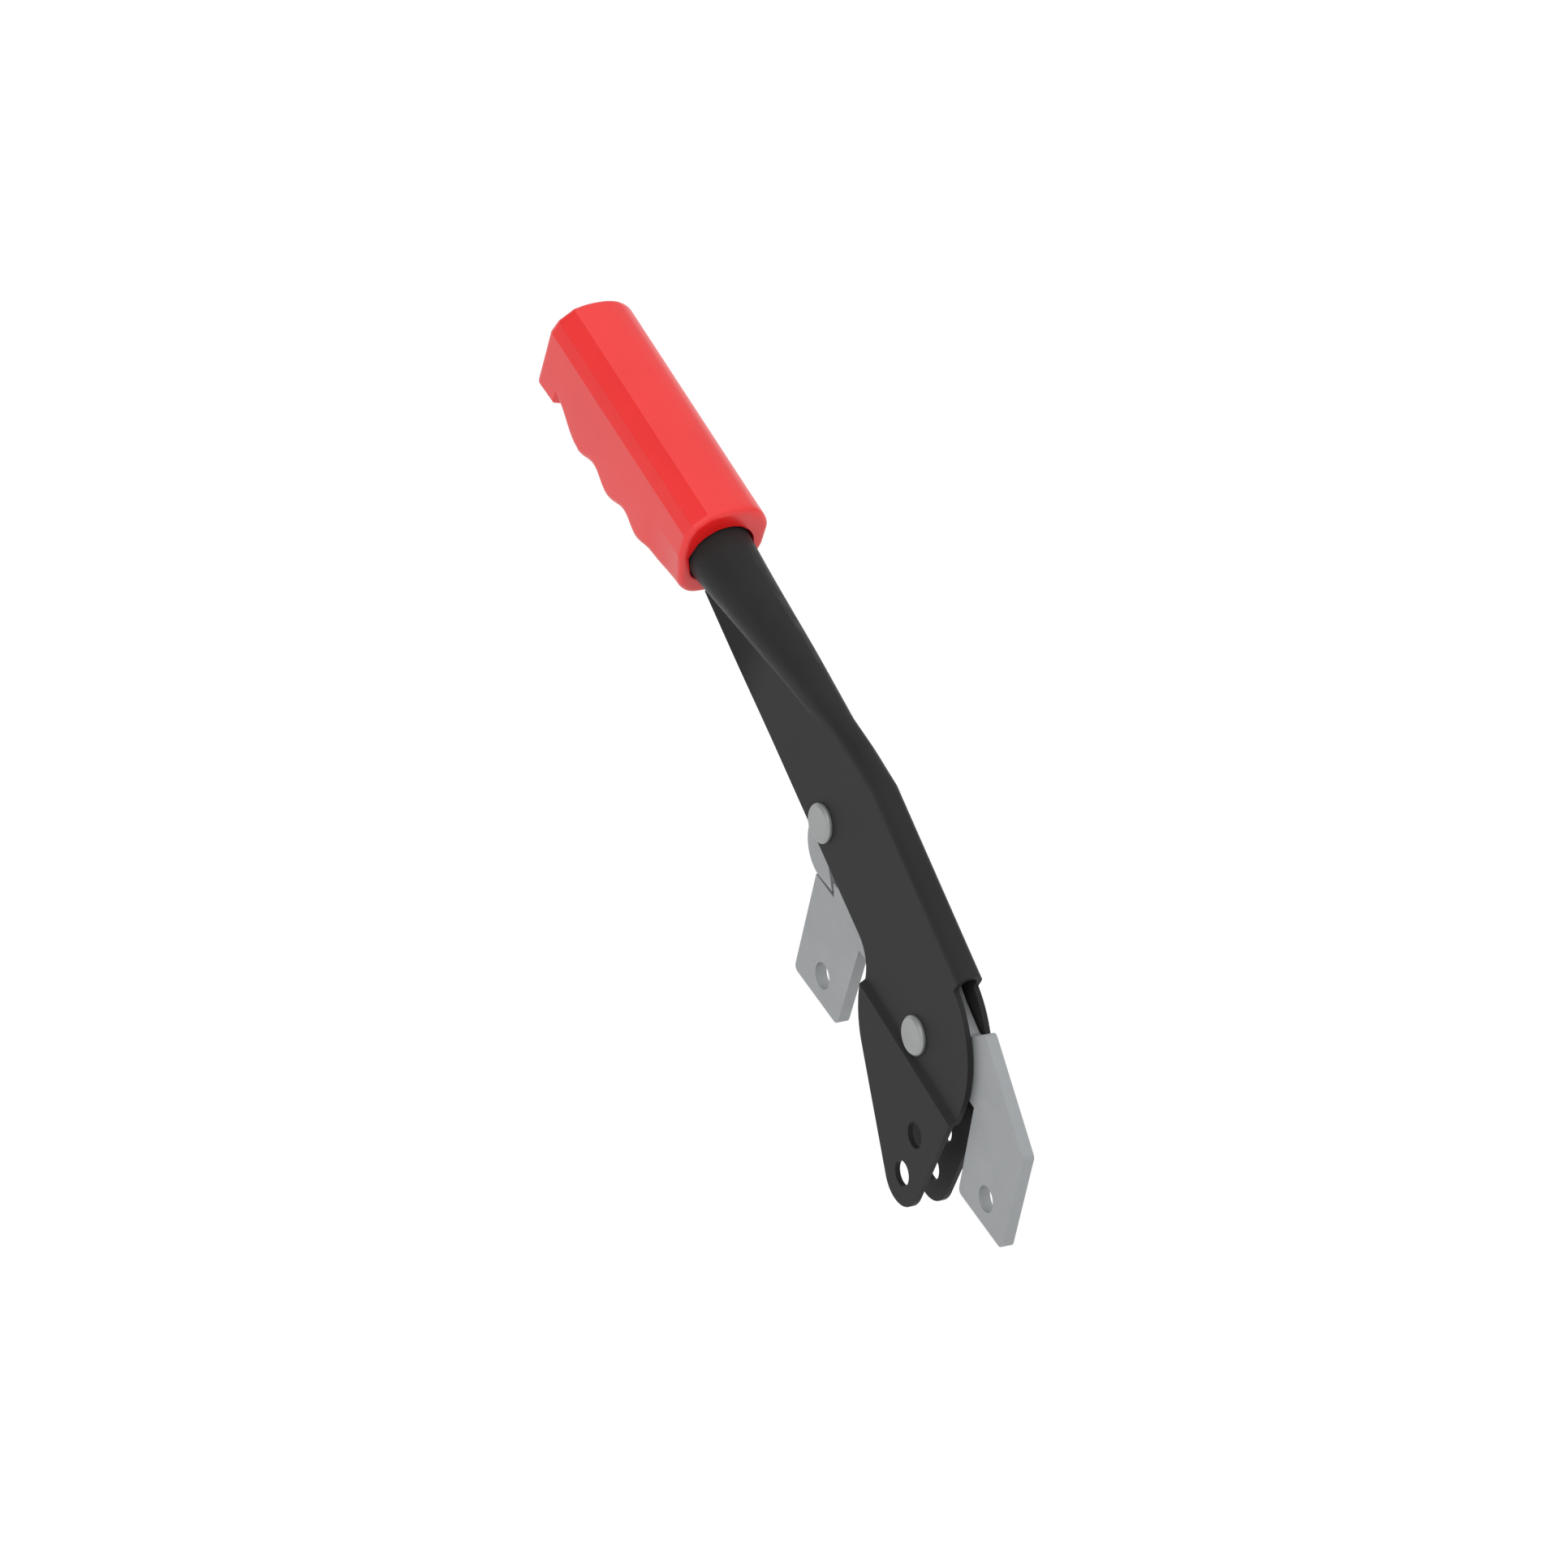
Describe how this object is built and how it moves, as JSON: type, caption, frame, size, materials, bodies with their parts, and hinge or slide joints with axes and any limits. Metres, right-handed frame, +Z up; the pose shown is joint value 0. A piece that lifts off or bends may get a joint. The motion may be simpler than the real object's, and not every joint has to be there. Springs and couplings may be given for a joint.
{
  "type": "ratchet hand-brake lever",
  "caption": "Ratchet hand-brake lever: folded steel lever with a soft grip, turning on a toothed plate with two mounting feet, with a sprung pawl and a rod clevis.",
  "frame": {"origin": "midway between the two mounting holes of the ratchet plate, on the plate's mid-plane", "axes": "+X along the mounting feet away from the grip, +Y across the part along the pivots, +Z up from the feet"},
  "size_m": [0.3576, 0.0334, 0.1556],
  "materials": {
    "plate_steel": "zinc plated, satin",
    "rivet_steel": "zinc plated, bright",
    "spring_steel": "drawn wire, oiled",
    "lever_black": "satin black paint",
    "grip_red": "soft vinyl, semi-gloss",
    "bush_bronze": "sintered bronze"
  },
  "bodies": {
    "base": {"quadrant_plate": "plate_steel", "pivot_bush": "bush_bronze"},
    "lever": {"lever_spine": "lever_black", "near_cheek": "lever_black", "far_cheek": "lever_black", "near_ear": "lever_black", "far_ear": "lever_black", "grip_tube": "lever_black", "grip": "grip_red", "pivot_rivet": "rivet_steel", "pawl_rivet": "rivet_steel", "pivot_washers": "rivet_steel", "pawl_washers": "rivet_steel", "rivet_washers": "rivet_steel", "spring_stud": "rivet_steel", "pawl_spring": "spring_steel"},
    "pawl": {"pawl": "plate_steel"}
  },
  "joints": [
    {"name": "lever_pivot", "type": "hinge", "parent": "base", "child": "lever", "pos_m": [0.0026, 0, 0.0262], "axis": [0, 1, 0], "range_deg": [0, 24]},
    {"name": "pawl_pivot", "type": "hinge", "parent": "lever", "child": "pawl", "pos_m": [-0.0776, 0, 0.0547], "axis": [0, 1, 0], "range_deg": [0, 5], "stiffness_Nm_per_rad": 0.06, "springref_deg": -31.51, "deforming": ["pawl_spring"]}
  ]
}
